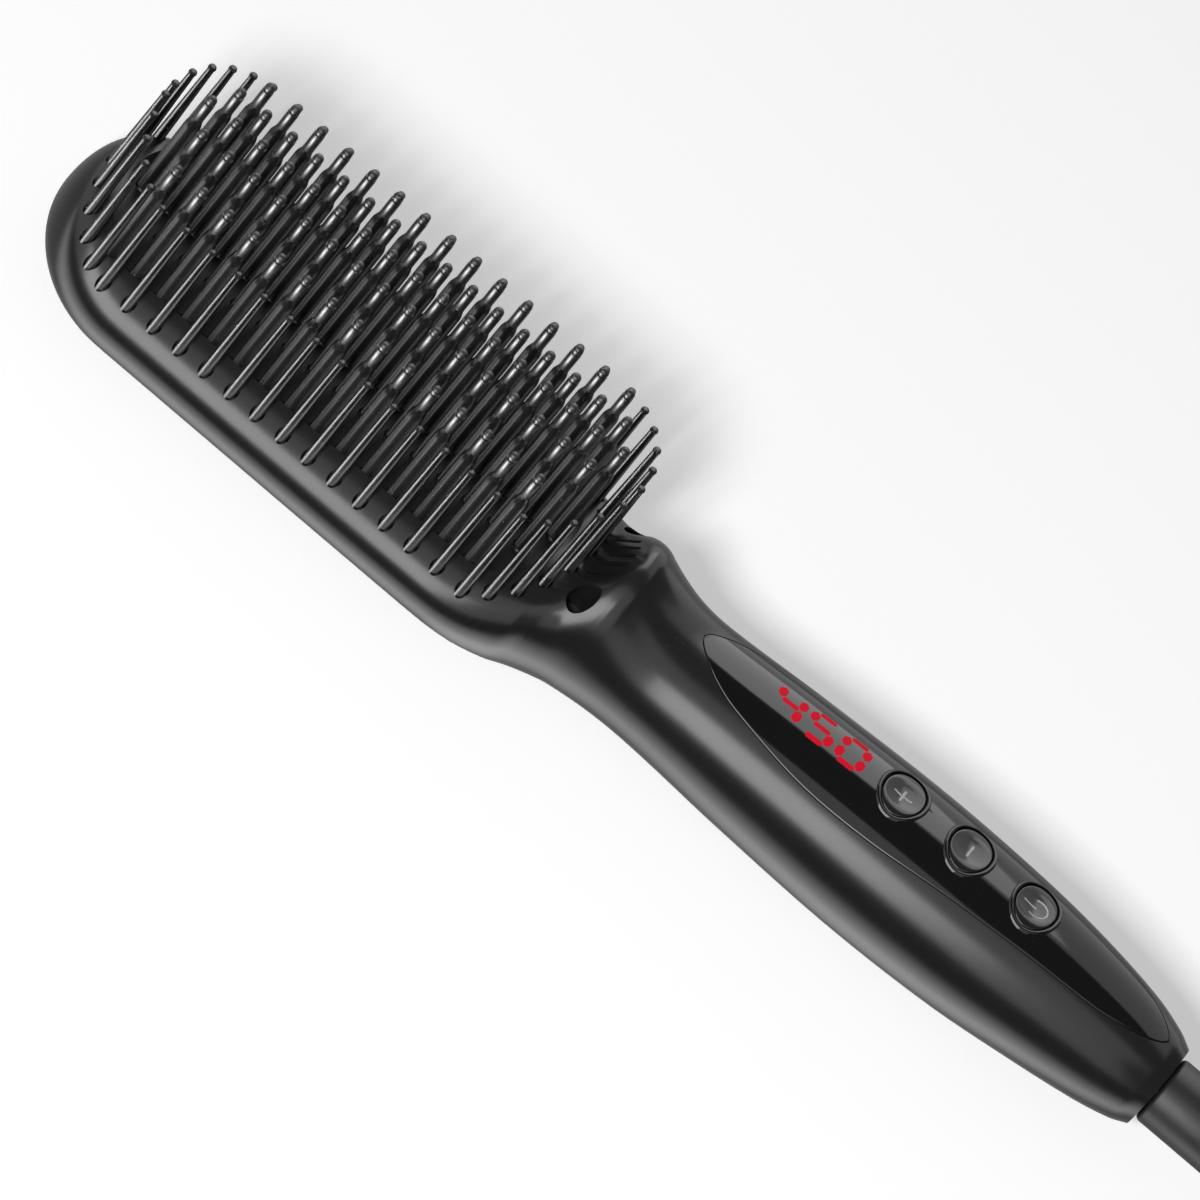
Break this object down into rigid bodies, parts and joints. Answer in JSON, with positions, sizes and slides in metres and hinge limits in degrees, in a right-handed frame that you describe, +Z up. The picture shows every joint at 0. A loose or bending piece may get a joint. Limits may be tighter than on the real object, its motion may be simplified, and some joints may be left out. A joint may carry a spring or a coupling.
{
  "type": "heated beard straightener brush",
  "caption": "Hand-held heated brush for straightening a beard, with guard bristles round rows of heated teeth, a display, push buttons and a swivelling mains cord.",
  "frame": {"origin": "middle of the bottom of the brush's own bounding box, cord and plug not counted, on the surface it lies on", "axes": "+X from the brush head towards the handle and cord, +Y to the far side in the picture, +Z up, the way the bristles point"},
  "size_m": [0.4739, 0.0649, 0.0509],
  "materials": {
    "body": "black soft-touch coating on a moulded shell, satin",
    "plate": "black coated aluminium, satin",
    "tooth": "black ceramic-coated aluminium, satin",
    "tooth_tip": "dark grey insulating plastic, satin",
    "guard": "black nylon, semi-gloss",
    "carrier": "heat-resistant grey plastic, matt",
    "heater": "fired alumina, matt",
    "film": "amber insulating film, glossy",
    "steel": "zinc-plated steel",
    "sensor": "glass bead in varnished sleeve",
    "fuse": "metal case",
    "lead": "red silicone insulation",
    "board": "green solder mask on glass-fibre board",
    "component": "black moulded component housing",
    "digits": "red lit segments",
    "window": "smoked black panel, semi-gloss",
    "button": "black plastic, satin",
    "insulator": "ivory insulating plastic, matt",
    "contact": "plated spring bronze",
    "cord": "black flexible sheath, satin",
    "strap": "black hook-and-loop strap",
    "plug": "black moulded plug, matt",
    "blade": "nickel-plated brass"
  },
  "bodies": {
    "brush": {"front_shell": "body", "rear_cover": "body", "heating_plate": "plate", "tooth_row_a": "tooth", "tooth_row_b": "tooth", "tooth_row_c": "tooth", "tooth_row_d": "tooth", "tooth_row_e": "tooth", "tooth_tips_a": "tooth_tip", "tooth_tips_b": "tooth_tip", "tooth_tips_c": "tooth_tip", "tooth_tips_d": "tooth_tip", "tooth_tips_e": "tooth_tip", "guard_comb_near": "guard", "guard_comb_far": "guard", "guard_comb_tip": "guard", "guard_comb_neck": "guard", "plate_carrier": "carrier", "ceramic_heater": "heater", "insulating_film": "film", "heater_clamp": "steel", "heater_screws": "steel", "thermistor": "sensor", "thermal_fuse": "fuse", "heater_leads": "lead", "main_board": "board", "display_module": "component", "display_digits": "digits", "panel_window": "window", "switch_bodies": "component", "power_triac": "component", "filter_capacitor": "film", "controller_chip": "component", "board_screws": "steel", "neck_screws": "steel", "swivel_bush": "body", "contact_fingers": "contact", "contact_block": "insulator", "mains_cord": "cord", "cord_hank": "cord", "cord_tie": "strap", "plug_relief": "cord", "plug_body": "plug", "plug_blades": "blade"},
    "swivel": {"cord_sleeve": "cord", "swivel_clip": "steel", "slip_rotor": "insulator", "slip_rings": "contact"},
    "plus_key": {"button_plus": "button", "plunger_plus": "insulator"},
    "minus_key": {"button_minus": "button", "plunger_minus": "insulator"},
    "power_key": {"button_power": "button", "plunger_power": "insulator"}
  },
  "joints": [
    {"name": "cord_swivel", "type": "hinge", "parent": "brush", "child": "swivel", "pos_m": [0.1015, 0, 0.0161], "axis": [1, 0, 0], "continuous": true},
    {"name": "plus_press", "type": "slide", "parent": "brush", "child": "plus_key", "axis": [0, 0, -1], "range_m": [0, 0.0005], "stiffness_N_per_m": 1500, "springref_m": -0.0004},
    {"name": "minus_press", "type": "slide", "parent": "brush", "child": "minus_key", "axis": [0, 0, -1], "range_m": [0, 0.0005], "stiffness_N_per_m": 1500, "springref_m": -0.0004},
    {"name": "power_press", "type": "slide", "parent": "brush", "child": "power_key", "axis": [0, 0, -1], "range_m": [0, 0.0005], "stiffness_N_per_m": 1500, "springref_m": -0.0004}
  ]
}
